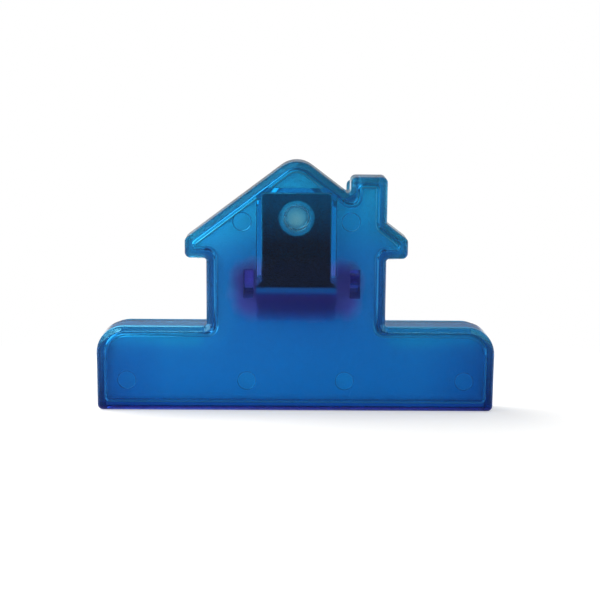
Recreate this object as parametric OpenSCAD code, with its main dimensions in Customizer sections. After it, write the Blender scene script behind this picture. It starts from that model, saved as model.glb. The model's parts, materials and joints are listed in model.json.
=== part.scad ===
// Spring bag clip with a house-shaped handle over a wide jaw bar.
// Two moulded trays turn on stub pins, and a bent steel strip holds their lips together.
// Each tray is drawn as seen from its own outside: x to the right, y up from the lip and
// z towards the viewer, with the outer face at z = 0 and the walls running back from it.

/* [Jaw bar] */
// Width of the jaw bar
jaw_w = 101.6; // [80:0.2:130]
// Height of the jaw bar, from the lip to its shoulders
jaw_h = 22.1; // [18:0.1:26]
// Radius of the jaw bar's upper corners
jaw_corner_r = 7.2; // [3:0.1:10]
// Radius of the jaw bar's lower corners
lip_corner_r = 1.4; // [0.6:0.1:3]
// Gap between the two closed lips
lip_gap = 0.2; // [0.1:0.05:0.6]

/* [House handle] */
// Width across the house walls
house_w = 45.4; // [42:0.2:60]
// Height of the house walls, from the shoulders to the eaves
house_h = 17.5; // [14:0.1:22]
// How far each eave stands out past its wall
eave_out = 5.4; // [3.6:0.1:8]
// Height of the upright end of an eave
eave_h = 4.8; // [4:0.1:8]
// Slope of the roof in degrees
roof_pitch = 37; // [28:0.5:45]
// Radius of the roof's ridge
ridge_r = 6.3; // [2:0.1:9]
// Width of the chimney
chimney_w = 9.2; // [7:0.1:11]
// Height of the chimney above the roof on its taller side
chimney_rise = 4.8; // [3:0.1:8]
// Radius of the corners of the eaves and the chimney
corner_r = 1.2; // [0.5:0.1:2]
// Radius where two edges meet in a hollow corner
hollow_r = 0.8; // [0.3:0.1:2]

/* [Tray] */
// Thickness of the flat panel
panel_t = 2.0; // [1.4:0.1:3]
// Thickness of the walls round the panel
wall = 1.7; // [1.4:0.1:2.6]
// Depth of the tray, from its outer face to its rim
tray_depth = 8.0; // [6:0.1:12]
// Rounding between the outer face and the walls
edge_r = 1.35; // [0.5:0.05:1.8]
// Diameter of the shallow round ejector pads on the inside
pad_d = 4.8; // [3:0.1:6]
// Height of the ejector pads
pad_h = 0.25; // [0.1:0.05:0.6]
// Distance from the side of the jaw bar to its outer pads
jaw_pad_in = 7.6; // [6:0.1:12]
// Distance from the middle of the jaw bar to its inner pads
jaw_pad_mid = 12.5; // [8:0.1:20]
// Height of the jaw pads above the lip
jaw_pad_v = 7.8; // [6:0.1:12]
// Distance from the middle of the roof to its pads
roof_pad_mid = 13.7; // [13:0.1:15]
// How far the roof pads lie below the peg
roof_pad_drop = 0.9; // [0:0.1:4]

/* [Hinge] */
// Height of the hinge axis above the lip
hinge_v = 33.0; // [31:0.1:36]
// Outward lean of each half when the lips are closed, in degrees
rest_lean = 9.5; // [6:0.25:12]
// Radius of the lugs round the hinge axis
lug_r = 3.7; // [2.8:0.1:4.5]
// Thickness of each lug
lug_t = 2.6; // [1.8:0.1:3]
// Side gap between a lug and the lug beside it
lug_gap = 0.2; // [0.1:0.05:0.5]
// Room between the spring's bend and the inner lugs
bend_room = 0.6; // [0.3:0.1:1.5]
// Radius of the stub pins
pin_r = 1.6; // [1.1:0.1:2]
// Running clearance round a stub pin
pin_clearance = 0.08; // [0.02:0.01:0.1]

/* [Spring] */
// Thickness of the steel strip
strip_t = 0.7; // [0.4:0.05:1]
// Width of the strip's straight legs
leg_w = 17.2; // [14:0.1:20]
// How far the bend stands out past the legs on each side
bend_out = 1.6; // [0.5:0.1:2.5]
// Distance from the hinge's height down to the start of the wide bend
flare_drop = 0.9; // [0:0.1:2]
// Gap between the strip and the panels that it presses on
seat_gap = 0.1; // [0.05:0.05:0.3]
// Room between the corners of a leg's tip and the roof wall
tip_room = 0.9; // [0.3:0.1:4]
// Radius of the corners of a leg's tip
tip_r = 0.8; // [0.3:0.1:3]
// Diameter of the hole in each leg
hole_d = 9.0; // [7:0.1:10]
// Distance from a leg's tip to the middle of its hole
hole_in = 6.1; // [5.5:0.1:8]

/* [Peg and rib] */
// Gap between the peg and the edge of the hole
peg_gap = 1.2; // [0.1:0.1:2]
// Height of the peg above the panel
peg_h = 3.2; // [2:0.1:4]
// Height of the peg's domed end
peg_dome = 1.6; // [0.5:0.1:2]
// Thickness of the rib round the leg
rib_t = 1.35; // [0.8:0.05:1.8]
// Height of the rib above the panel
rib_h = 1.8; // [1:0.1:3]
// Gap between the leg and the rib
rib_gap = 0.15; // [0.1:0.05:0.4]
// Height above the hinge where the rib starts
rib_start = 1.8; // [0.5:0.1:6]

/* [Hidden] */

$fn = 48;
// Short overlap that lets a feature bite into what carries it
bite = 0.4;
// Steps along a rounded corner, along the rounded outer edge and along the spring's bend
corner_steps = 5;
edge_steps = 4;
bend_steps = 40;
dome_steps = 8;
// Smallest radius left in an inside corner
least_r = 0.2;

// Outline of the house
eave_v = jaw_h + house_h;
eave_top = eave_v + eave_h;
eave_x = house_w / 2 + eave_out;
ridge_v = eave_top + eave_x * tan(roof_pitch);
chimney_x = house_w / 2 - chimney_w;
chimney_v = roof_at(chimney_x) + chimney_rise;

// Hinge axis: its distance behind the outer face, and its height with the clip standing on its jaw
hinge_w = tray_depth + hinge_v * tan(rest_lean) + lip_gap / 2 / cos(rest_lean);
hinge_z = max([
    for (s = wall_section())
    (hinge_v - s.x) * cos(rest_lean) + (hinge_w - s.y) * sin(rest_lean)
]);

// Places along the hinge
bend_w = leg_w + 2 * bend_out;
inner_lug_x = bend_w / 2 + bend_room;
outer_lug_x = inner_lug_x + lug_t + lug_gap;

// Spring strip: middle of the bend, and the leg under the roof
bend_r = hinge_w - panel_t - seat_gap - strip_t / 2;
leg_top = roof_at(leg_w / 2) - (wall + tip_room) / cos(roof_pitch);
leg_len = leg_top - hinge_v;
hole_v = leg_top - hole_in;

// Height of the roof line above the lip, at a distance x from the middle
function roof_at(x) = ridge_v - abs(x) * tan(roof_pitch);

// Outline of a half as corners [x, y, radius], anticlockwise from the lower left
function outline() = [
    [-jaw_w / 2, 0, lip_corner_r],
    [jaw_w / 2, 0, lip_corner_r],
    [jaw_w / 2, jaw_h, jaw_corner_r],
    [house_w / 2, jaw_h, hollow_r],
    [house_w / 2, eave_v, hollow_r],
    [eave_x, eave_v, corner_r],
    [eave_x, eave_top, corner_r],
    [house_w / 2, roof_at(house_w / 2), hollow_r],
    [house_w / 2, chimney_v, corner_r],
    [chimney_x, chimney_v, corner_r],
    [chimney_x, roof_at(chimney_x), hollow_r],
    [0, ridge_v, ridge_r],
    [-eave_x, eave_top, corner_r],
    [-eave_x, eave_v, corner_r],
    [-house_w / 2, eave_v, hollow_r],
    [-house_w / 2, jaw_h, hollow_r],
    [-jaw_w / 2, jaw_h, jaw_corner_r]
];

// The same outline seen from the other side
function mirrored(corners) = [
    for (i = [len(corners) - 1:-1:0])
    [-corners[i].x, corners[i].y, corners[i][2]]
];

// Direction of the edge that arrives at corner i, and its normal towards the inside
function edge_dir(corners, i) =
    let (a = corners[(i + len(corners) - 1) % len(corners)], b = corners[i % len(corners)])
    [b.x - a.x, b.y - a.y] / norm([b.x - a.x, b.y - a.y]);
function edge_in(corners, i) =
    let (d = edge_dir(corners, i))
    [-d.y, d.x];

// Turn of the outline at corner i in degrees: positive where the corner stands out
function turn_at(corners, i) =
    let (a = edge_dir(corners, i), b = edge_dir(corners, i + 1))
    atan2(a.x * b.y - a.y * b.x, a * b);

// Step from a corner towards the inside that moves both of its edges by one
function corner_in(corners, i) =
    let (a = edge_in(corners, i), b = edge_in(corners, i + 1))
    (a + b) / (1 + a * b);

// The outline moved inwards by a distance, with its radii to match
function inset(corners, distance) = [
    for (i = [0:len(corners) - 1])
    let (p = [corners[i].x, corners[i].y] + corner_in(corners, i) * distance)
    let (r = corners[i][2])
    [p.x, p.y, turn_at(corners, i) > 0 ? max(r - distance, least_r) : r + distance]
];

// Points of the outline with each corner drawn as an arc
function rounded(corners) = [
    for (i = [0:len(corners) - 1])
    let (turn = turn_at(corners, i), side = sign(turn), r = corners[i][2])
    let (centre = [corners[i].x, corners[i].y] + corner_in(corners, i) * side * r)
    let (start = edge_in(corners, i) * -side * r)
    for (k = [0:corner_steps])
    let (a = turn * k / corner_steps)
    centre + [start.x * cos(a) - start.y * sin(a), start.x * sin(a) + start.y * cos(a)]
];

// Cross-section of a tray's wall as [inset, depth]: rounded edge, outside, rim, inside and the
// root of the wall within the panel
function wall_section() = [
    for (k = [0:edge_steps])
    let (a = 90 * k / edge_steps)
    [edge_r * (1 - sin(a)), edge_r * (1 - cos(a))],
    [0, tray_depth],
    [wall, tray_depth],
    [wall, panel_t - bite]
];

// Place a half, drawn as seen from outside, at the front or the rear of the clip
module front_place() {
    translate([0, 0, hinge_z])
        rotate([90 + rest_lean, 0, 0])
            translate([0, -hinge_v, hinge_w])
                children();
}
module rear_place() {
    rotate([0, 0, 180])
        front_place()
            children();
}

// Bare tray: the wall section carried round the outline, and the flat panel within it
module tray(corners) {
    section = wall_section();
    rings = [for (s = section) rounded(inset(corners, s.x))];
    n = len(rings[0]);
    m = len(section);
    points = [
        for (j = [0:m - 1])
        for (p = rings[j])
        [p.x, p.y, -section[j].y]
    ];
    faces = [
        for (j = [0:m - 1])
        for (i = [0:n - 1])
        let (k = (i + 1) % n, next = (j + 1) % m)
        [j * n + i, j * n + k, next * n + k, next * n + i]
    ];
    polyhedron(points = points, faces = faces, convexity = 8);
    translate([0, 0, -panel_t])
        linear_extrude(panel_t)
            polygon(rounded(inset(corners, edge_r)));
}

// Land that brings the bottom wall's rim up to the plane where the lips meet
module lip_land() {
    top = wall - bite / 2;
    translate([-jaw_w / 2 + wall, 0, 0])
        rotate([90, 0, 90])
            linear_extrude(jaw_w - 2 * wall)
                polygon([
                    [bite / 2, -tray_depth + bite],
                    [bite / 2, -tray_depth - bite / 2 * tan(rest_lean)],
                    [top, -tray_depth - top * tan(rest_lean)],
                    [top, -tray_depth + bite]
                ]);
}

// Hinge lug: a plate from the panel to the hinge axis with a round end
module lug(x) {
    translate([x, hinge_v, -hinge_w])
        rotate([0, 90, 0])
            cylinder(r = lug_r, h = lug_t);
    translate([x, hinge_v - lug_r, -hinge_w])
        cube([lug_t, 2 * lug_r, hinge_w - panel_t + bite]);
}

// Round bar along the hinge axis, from x for a length
module hinge_bar(x, length, r) {
    translate([x, hinge_v, -hinge_w])
        rotate([0, 90, 0])
            cylinder(r = r, h = length);
}

// Inner lug on the left with its stub pin, and outer lug on the right with the bore
module hinge_lugs() {
    pin_len = lug_gap + lug_t;
    lug(-inner_lug_x - lug_t);
    hinge_bar(-inner_lug_x - lug_t - pin_len, pin_len + bite, pin_r);
    difference() {
        lug(outer_lug_x);
        hinge_bar(outer_lug_x - bite, lug_t + 2 * bite, pin_r + pin_clearance);
    }
}

// Domed peg that stands in the hole of the spring's leg
module peg() {
    r = hole_d / 2 - peg_gap;
    straight = peg_h - peg_dome;
    dome = [
        for (k = [0:dome_steps])
        let (a = 90 * k / dome_steps)
        [k == dome_steps ? 0 : r * cos(a), straight + peg_dome * sin(a)]
    ];
    translate([0, hole_v, -panel_t])
        rotate([180, 0, 0])
            rotate_extrude()
                polygon(concat([[0, -bite], [r, -bite]], dome));
}

// Rib that locates the leg: two sides and a bar across its tip, kept inside the roof wall
module leg_rib(corners) {
    inner = leg_w / 2 + rib_gap;
    foot = hinge_v + rib_start;
    top = leg_top + rib_gap;
    intersection() {
        translate([0, 0, -panel_t - rib_h])
            difference() {
                translate([-inner - rib_t, foot, 0])
                    cube([2 * (inner + rib_t), top + rib_t - foot, rib_h + bite]);
                translate([-inner, foot - bite, -bite])
                    cube([2 * inner, top - foot + bite, rib_h + 3 * bite]);
            }
        translate([0, 0, -tray_depth])
            linear_extrude(tray_depth)
                polygon(rounded(inset(corners, wall / 2)));
    }
}

// Shallow round pads where the ejector pins met the moulding
module ejector_pads() {
    places = [
        for (side = [-1, 1])
        each [
            [side * (jaw_w / 2 - jaw_pad_in), jaw_pad_v],
            [side * jaw_pad_mid, jaw_pad_v],
            [side * roof_pad_mid, hole_v - roof_pad_drop]
        ]
    ];
    for (p = places)
        translate([p.x, p.y, -panel_t - pad_h])
            cylinder(d = pad_d, h = pad_h + bite);
}

// One moulded half with everything that is part of it
module moulded_half(corners) {
    tray(corners);
    lip_land();
    hinge_lugs();
    peg();
    leg_rib(corners);
    ejector_pads();
}

// What a leg leaves of the strip: the wide bend, a short flare and the narrow leg
module leg_trim() {
    deep = panel_t + seat_gap + strip_t + bite;
    low = hinge_v - flare_drop;
    leg = rounded([
        [-bend_w / 2, low - bite, least_r],
        [bend_w / 2, low - bite, least_r],
        [bend_w / 2, low, least_r],
        [leg_w / 2, low + bend_out, least_r],
        [leg_w / 2, leg_top, tip_r],
        [-leg_w / 2, leg_top, tip_r],
        [-leg_w / 2, low + bend_out, least_r],
        [-bend_w / 2, low, least_r]
    ]);
    difference() {
        translate([-bend_w, low, -deep])
            cube([2 * bend_w, leg_len + 2 * bend_w, deep]);
        translate([0, 0, -deep - bite])
            linear_extrude(deep + 2 * bite)
                polygon(leg);
    }
    translate([0, hole_v, -deep])
        cylinder(d = hole_d, h = deep);
}

module front_half() {
    color("RoyalBlue")
        front_place()
            moulded_half(outline());
}

module rear_half() {
    color("RoyalBlue")
        rear_place()
            moulded_half(mirrored(outline()));
}

// Steel strip bent round the hinge axis, with a leg along each panel
module leaf_spring() {
    up = [-sin(rest_lean), cos(rest_lean)];
    arc = [for (k = [0:bend_steps]) 180 + rest_lean + (180 - 2 * rest_lean) * k / bend_steps];
    far = leg_len + bite;
    function side_line(r) = concat(
        [[-r * cos(rest_lean), -r * sin(rest_lean)] + up * far],
        [for (a = arc) [r * cos(a), r * sin(a)]],
        [[r * cos(rest_lean), -r * sin(rest_lean)] + [-up.x, up.y] * far]
    );
    outside = side_line(bend_r + strip_t / 2);
    inside = side_line(bend_r - strip_t / 2);
    back = [for (i = [len(inside) - 1:-1:0]) inside[i]];
    color("DarkSlateGray")
        difference() {
            translate([-bend_w / 2, 0, hinge_z])
                rotate([90, 0, 90])
                    linear_extrude(bend_w)
                        polygon(concat(outside, back));
            front_place()
                leg_trim();
            rear_place()
                leg_trim();
        }
}

front_half();
rear_half();
leaf_spring();
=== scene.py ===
"""Spring bag clip with a house-shaped handle: two hinged blue trays and a bent steel strip."""
import json
import math

import bmesh
import bpy
from bpy.props import FloatProperty, FloatVectorProperty, PointerProperty
from mathutils import Matrix, Vector


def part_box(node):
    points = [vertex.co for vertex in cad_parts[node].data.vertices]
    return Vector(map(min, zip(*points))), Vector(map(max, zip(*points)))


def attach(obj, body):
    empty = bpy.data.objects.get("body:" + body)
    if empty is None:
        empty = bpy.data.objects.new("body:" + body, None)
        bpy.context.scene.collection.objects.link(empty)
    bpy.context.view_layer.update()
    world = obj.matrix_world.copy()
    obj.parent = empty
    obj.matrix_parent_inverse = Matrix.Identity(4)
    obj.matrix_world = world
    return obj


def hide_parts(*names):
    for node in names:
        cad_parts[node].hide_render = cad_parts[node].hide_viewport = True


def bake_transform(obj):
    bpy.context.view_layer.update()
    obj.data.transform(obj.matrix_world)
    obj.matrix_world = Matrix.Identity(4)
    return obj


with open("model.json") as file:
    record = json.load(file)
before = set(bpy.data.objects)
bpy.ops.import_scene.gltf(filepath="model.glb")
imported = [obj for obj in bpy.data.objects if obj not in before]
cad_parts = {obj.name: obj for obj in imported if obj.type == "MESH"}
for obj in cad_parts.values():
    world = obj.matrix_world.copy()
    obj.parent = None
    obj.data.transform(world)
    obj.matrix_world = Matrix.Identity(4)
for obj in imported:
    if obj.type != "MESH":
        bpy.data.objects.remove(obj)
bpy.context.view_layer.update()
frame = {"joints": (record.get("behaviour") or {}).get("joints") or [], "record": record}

bl_info = {
    "name": "Bag Clip",
    "version": (1, 0, 0),
    "blender": (4, 5, 0),
    "location": "View3D > Sidebar > Bag Clip",
    "description": "Models a spring bag clip with a house-shaped handle",
    "category": "Object",
}

MM = 0.001

# What the frame says: the hinge axis, the lean of the closed halves, and the boxes of half and spring
HINGE = next(joint for joint in frame["joints"] if joint["name"] == "jaw_hinge")
HINGE_Z = HINGE["pos_m"][2]
FRONT_FACE = next(mount for mount in frame["record"]["mounts"] if mount["name"] == "front_face")
REST_LEAN = math.asin(-FRONT_FACE["axis"][2])
HALF_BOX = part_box("front_half")
STRIP_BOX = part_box("leaf_spring")

# Regions of a moulding, marked on its faces while it is being built
PANEL, EDGE, MATT, CLEAR, PEG, LUGS, WALL, LIP, RIM, SHOULDER_HIGHLIGHT, PADS = range(11)
# The look of each region: its colour's name, how matt it is and how much light its surface scatters back
LOOKS = {
    PANEL: ("panel", 0.0, 0.0),
    EDGE: ("edge", 0.0, 0.0),
    MATT: ("matt", 1.0, 0.01),
    CLEAR: ("clear", 0.0, 0.0),
    PEG: ("peg", 1.0, 0.0),
    LUGS: ("lugs", 0.3, 0.35),
    WALL: ("wall", 0.0, 0.0),
    LIP: ("lip", 0.0, 0.05),
    RIM: ("rim", 1.0, 0.3),
    SHOULDER_HIGHLIGHT: ("shoulder_highlight", 0.0, 0.0),
    PADS: ("pads", 0.8, 0.0),
}

# Short overlap that lets a feature bite into the wall or panel that carries it
BITE = 0.4 * MM
# Turn covered by one facet of a rounded corner, and the fewest facets
ARC_STEP = math.radians(9)
ARC_LEAST = 4
# Facets along half of the spring's bend
BEND_STEPS = 32
# Facets across each rounding
EDGE_FACETS = 10
PAD_FACETS = 3
PEG_FACETS = 12
TIP_FACETS = 6
BREAK_FACETS = 2
# Facets round the hinge's bars, the pads and pegs, the holes in the spring and the floor
BAR_FACETS = 48
BOSS_FACETS = 64
HOLE_FACETS = 96
FLOOR_FACETS = 96
# Length of the tool that cuts the spring's holes, in thicknesses of the strip
HOLE_REACH = 6
# Points closer than this are one point
WELD = 0.002 * MM
# Edges sharper than this are rounded
SHARP = math.radians(50)
# Edges sharper than this stay crisp in the shading
CRISP = math.radians(32)
# Heights off the shoulder at which the painted highlight on its rounded edge is full and has faded out
SHOULDER_FULL = 1.35 * MM
SHOULDER_FADE = 5.0 * MM

# A half size that takes in the whole clip
ANY = 1.0
# Zones of the plastic, by middle and half sizes, that carry the painted shade: the thick hinge, and the
# spring's leg across it
HINGE_ZONE = ((0.0, 0.0, HINGE_Z - 3.3 * MM), (11.8 * MM, ANY, 2.8 * MM))
LEG_ZONE = ((0.0, 0.0, HINGE_Z + 1.0 * MM), (9.7 * MM, ANY, 4.8 * MM))
# Painted violet shade round the hinge, where the lugs and the bend shade the inside: how far round its
# zone it is full and ends, how far its edge strays, and its share
HINGE_SHADE_FULL = 3.2 * MM
HINGE_SHADE_END = 7.4 * MM
HINGE_SHADE_STRAY = 3.0 * MM
HINGE_SHADE_SHARE = 0.85
# What the leg leaves of that share, and how far round the leg this fades
LEG_SHARE = 0.28
LEG_FADE = 1.0 * MM
# Pale milky spot over the peg, painted light that stands in for light carried through the peg: how far
# from the peg's middle it is full and ends, and the light that it scatters back
SPOT_FULL = 0.3 * MM
SPOT_END = 4.2 * MM
SPOT_HAZE = 0.13
# Heights at which the painted light of the roof and of the band under the shoulders, and the painted
# shade along the lip, start and are full
ROOF_START = 36.0 * MM
ROOF_FULL = 50.0 * MM
BAND_START = 15.0 * MM
BAND_FULL = 19.0 * MM
LIP_START = 2.3 * MM
LIP_FULL = 1.9 * MM
# How far out past the house that band of painted light is full, and the painted shade of the jaw's ends
# starts and is full
BAND_OUT = 3.0 * MM
END_START = 10.0 * MM
END_FULL = 24.0 * MM
# Painted light and shade at these places, as factors on red, green and blue: the roof greener and lighter
# and the band under the shoulders brighter where light falls from above, and the lip deeper in shade
ROOF_PAINTED_LIGHT = (0.64, 1.1, 1.0, 1.0)
BAND_PAINTED_LIGHT = (0.9, 1.2, 1.1, 1.0)
LIP_PAINTED_SHADE = (0.75, 0.8, 0.94, 1.0)
# Pits of the matt inside, drawn coarser than the real ones so that they show
PIT_SIZE = 0.09 * MM
# Patches of the painted violet shade round the hinge, and slow waves in the polish
BLOTCH_SIZE = 5.0 * MM
WAVE_SIZE = 9.0 * MM
# Least and most roughness of the polish, and of the pits
POLISH_ROUGH = (0.03, 0.07)
PIT_ROUGH = (0.26, 1.0)
# Levels of the grain between which the pits are least and most rough, and how far the painted violet
# shade lifts it
PIT_LEVELS = (0.42, 0.48)
PIT_LIFT = 0.15
# Depth that the grain has in the plastic and in the steel
GRAIN_DEPTH = 0.02 * MM
# Strength of the blue colouring in the depth of the plastic, per metre
DYE_DENSITY = 55.0
# Rolling lines of the steel, their width and length, drawn coarse enough to show
LINE_WIDTH = 0.3 * MM
LINE_RUN = 9.0 * MM
# Roughness of the steel, between those lines and on them
STEEL_ROUGH = (0.25, 0.42)

# Sockets of a mix node, by number because their names repeat: two numbers, two colours, the mixed colour
NUMBER_A = 2
NUMBER_B = 3
COLOUR_A = 6
COLOUR_B = 7
MIXED_COLOUR = 2

# Sines of the angles above the horizon where the white surround ends and the dim ceiling starts
SURROUND_TOP = 0.03
CEILING_START = 0.18
# Light of that ceiling, and of the surround on matt surfaces, where the white that the eye sees is one
CEILING_LIGHT = 0.35
MATT_LIGHT = 0.5
# Radius of the floor, and how far out it starts to fade to white and is white, in metres
FLOOR_R = 2.0
FLOOR_FADE = 0.12
FLOOR_WHITE = 0.3
# Light added to the floor as the eye sees it
FLOOR_LIFT = 0.42
# Width of the camera's sensor in millimetres
SENSOR_W = 36.0


def length(name, description, millimetres):
    """A size that can be set, given in millimetres and kept in metres."""
    return FloatProperty(
        name=name,
        description=description,
        default=millimetres * MM,
        min=0.0,
        precision=5,
        unit="LENGTH",
    )


def angle(name, description, degrees):
    """An angle that can be set, given in degrees and kept in radians."""
    return FloatProperty(
        name=name,
        description=description,
        default=math.radians(degrees),
        subtype="ANGLE",
    )


def linear(hex_colour):
    """An sRGB hex colour as linear red, green and blue."""
    parts = [int(hex_colour[i:i + 2], 16) / 255 for i in (0, 2, 4)]
    return [p / 12.92 if p <= 0.04045 else ((p + 0.055) / 1.055) ** 2.4 for p in parts]


def colour(name, description, hex_colour):
    """A colour that can be set, given as sRGB hex and kept linear."""
    return FloatVectorProperty(
        name=name,
        description=description,
        default=linear(hex_colour),
        min=0.0,
        max=1.0,
        size=3,
        subtype="COLOR",
    )


class TraySizes(bpy.types.PropertyGroup):
    jaw_w: length("Jaw width", "Width of the jaw bar", (HALF_BOX[1].x - HALF_BOX[0].x) / MM)
    jaw_h: length("Jaw height", "Height of the jaw bar, from the lip to its shoulders", 22.1)
    jaw_corner_r: length("Jaw corners", "Radius of the jaw bar's upper corners", 7.2)
    lip_corner_r: length("Lip corners", "Radius of the jaw bar's lower corners", 1.45)
    lip_gap: length("Lip gap", "Gap between the two closed lips", 0.2)
    house_w: length("House width", "Width across the house walls", 45.4)
    house_h: length("House walls", "Height of the house walls, from shoulders to eaves", 17.5)
    eave_out: length("Eaves", "How far each eave stands out past its wall", 5.4)
    eave_h: length("Eave ends", "Height of the upright end of an eave", 4.8)
    roof_pitch: angle("Roof pitch", "Slope of the roof", 37)
    ridge_r: length("Ridge", "Radius of the roof's ridge", 6.3)
    chimney_w: length("Chimney width", "Width of the chimney", 9.2)
    chimney_rise: length("Chimney rise", "Height above the roof on the chimney's taller side", 4.8)
    corner_r: length("House corners", "Radius of the corners of the eaves and the chimney", 1.45)
    hollow_r: length("Hollow corners", "Radius where two edges meet in a hollow corner", 0.8)
    panel_t: length("Panel", "Thickness of the flat panel", 2.0)
    wall: length("Wall", "Thickness of the walls round the panel", 1.7)
    depth: length("Depth", "Depth of the tray, from its outer face to its rim", 8.0)
    edge_r: length("Outer edge", "Rounding between the outer face and the walls", 1.35)
    floor_r: length("Floor fillet", "Rounding between the panel and the inside of the walls", 1.3)
    inner_r: length("Inside corners", "Least radius of the corners inside the walls", 1.4)
    inner_hollow_r: length("Inside hollows", "Radius of the hollow corners inside the walls", 1.6)
    rim_r: length("Rim", "Rounding of the rim's two edges", 0.16)
    pad_d: length("Ejector pads", "Diameter of the shallow round pads on the inside", 4.8)
    pad_h: length("Pad height", "Height of the ejector pads", 0.25)
    jaw_pad_in: length("Outer pads", "From the side of the jaw bar to its outer pads", 7.6)
    jaw_pad_mid: length("Inner pads", "From the middle of the jaw bar to its inner pads", 12.5)
    jaw_pad_y: length("Jaw pads", "Height of the jaw pads above the lip", 7.8)
    roof_pad_mid: length("Roof pads", "From the middle of the roof to its pads", 13.7)
    roof_pad_drop: length("Roof pad drop", "How far the roof pads lie below the peg", 0.9)


class HingeSizes(bpy.types.PropertyGroup):
    axis_y: length("Hinge height", "Height of the hinge axis above the lip", 33.0)
    lug_r: length("Lug radius", "Radius of the lugs round the hinge axis", 3.7)
    lug_t: length("Lug thickness", "Thickness of each lug", 2.6)
    lug_gap: length("Lug gap", "Side gap between a lug and the lug beside it", 0.2)
    bend_room: length("Bend room", "Room between the spring's bend and the inner lugs", 0.6)
    pin_r: length("Stub pin", "Radius of the stub pins", 1.6)
    pin_clearance: length("Pin clearance", "Running clearance round a stub pin", 0.08)
    break_r: length("Edge break", "Rounding of the edges of lugs, pins and ribs", 0.14)


class SpringSizes(bpy.types.PropertyGroup):
    strip_t: length("Strip", "Thickness of the steel strip", 0.7)
    bend_w: length("Bend width", "Width of the bend", (STRIP_BOX[1].x - STRIP_BOX[0].x) / MM)
    bend_out: length("Bend flare", "How far the bend stands out past the legs", 1.6)
    flare_drop: length("Flare drop", "From the hinge's height down to the wide bend", 0.9)
    seat_gap: length("Seat gap", "Gap between the strip and the panels it presses on", 0.1)
    tip_room: length("Tip room", "Room between a leg's tip and the roof wall", 0.9)
    tip_r: length("Tip corners", "Radius of the corners of a leg's tip", 0.8)
    hole_d: length("Hole", "Diameter of the hole in each leg", 9.0)
    hole_in: length("Hole place", "From a leg's tip to the middle of its hole", 6.1)
    edge_r: length("Strip edges", "Rounding of the strip's sheared edges", 0.1)
    peg_gap: length("Peg gap", "Gap between the peg and the edge of the hole", 1.2)
    peg_h: length("Peg height", "Height of the peg above the panel", 3.2)
    peg_dome: length("Peg dome", "Rounding of the peg's end", 1.5)
    rib_t: length("Rib", "Thickness of the rib round the leg", 1.35)
    rib_h: length("Rib height", "Height of the rib above the panel", 1.8)
    rib_gap: length("Rib gap", "Gap between the leg and the rib", 0.15)
    rib_start: length("Rib start", "Height above the hinge where the rib starts", 1.8)


class ClipColours(bpy.types.PropertyGroup):
    panel: colour("Panel", "Blue of the polished outer face", "0e70b4")
    edge: colour("Edge", "Greyer blue of the rounded edge", "2a729e")
    # Painted shade: violet blue on the rounded edge along the lip, low down where the clip meets the
    # floor
    lip: colour("Lip", "Violet blue of the rounded edge along the lip", "8848c0")
    # Painted light: the walls are paler so that they glow, standing in for light carried along them
    wall: colour("Wall", "Paler blue of the outside of the walls", "4c90c0")
    rim: colour("Rim", "Pale blue of the matt rim", "90c0e4")
    # Painted highlight of the light from above on the rounded edge along the shoulders
    shoulder_highlight: colour("Shoulder", "Pale blue of the rounded edge along the shoulders", "c0ffff")
    # Painted shade that deepens the blue towards the jaw's ends
    jaw_end_shade: colour("Jaw ends", "Tone that deepens the blue towards the jaw's ends", "dceaf4")
    pads: colour("Ejector pads", "Smoother tops of the ejector pads", "c2fcff")
    matt: colour("Inside", "Paler blue of the matt inside, where the light scatters", "b0f0ff")
    clear: colour("Fillet", "Clear fillets, rib, lip land and edges of the pads", "f0ffff")
    # Painted light: the peg is paler, standing in for light carried through it
    peg: colour("Peg", "Pale blue of the peg", "88dcf0")
    lugs: colour("Lugs", "Violet of the thick hinge lugs", "c8b4ff")
    # Painted light: a pale spot over the peg, standing in for light carried through the peg
    spot: colour("Peg spot", "Pale blue of the milky spot over the peg", "b4eaec")
    # Painted light: the tips are paler where light from above falls on them
    steel: colour("Steel", "Grey of the spring's tips", "78b0a8")
    dark: colour("Dark temper", "Near black of the tempered legs", "050608")
    # Painted highlight where the bend starts
    line: colour("Bend line", "Bright line where the bend starts", "60ffff")
    # Painted shade: violet on the bend, under the hinge
    bend_shade: colour("Blued bend", "Violet temper colour of the bend", "ccb0e4")
    # Painted shade: violet where the lugs and the bend shade the inside round the hinge
    hinge_shade: colour("Bloom", "Violet of the thick plastic round the hinge", "9a80cc")
    gloss: colour("Gloss", "Dim blue of what the plastic reflects", "6c7ca0")
    depth: colour("Depth", "Blue that is left of light deep in the plastic", "00aae7")
    floor: colour("Floor", "White of the paper floor", "f2f2f2")


class StageSettings(bpy.types.PropertyGroup):
    camera_distance: length("Camera distance", "From the camera to the middle of the clip", 349.9)
    camera_height: angle("Camera height", "Height of the camera above the horizon", 0.9)
    camera_side: angle("Camera side", "Turn of the camera to the left of straight on", 0.31)
    camera_roll: angle("Camera roll", "Roll of the camera", 0.36)
    focal_length: FloatProperty(
        name="Lens",
        description="Focal length in millimetres on a 36 mm sensor",
        default=80.15,
        min=1.0,
    )
    turn_z: length("Turning point", "Height of the point that the camera turns about", 32.0)
    aim_x: length("Aim to the side", "How far right of the middle the camera looks", 1.1)
    aim_z: length("Aim height", "Height that the camera looks at", 28.2)


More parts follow.
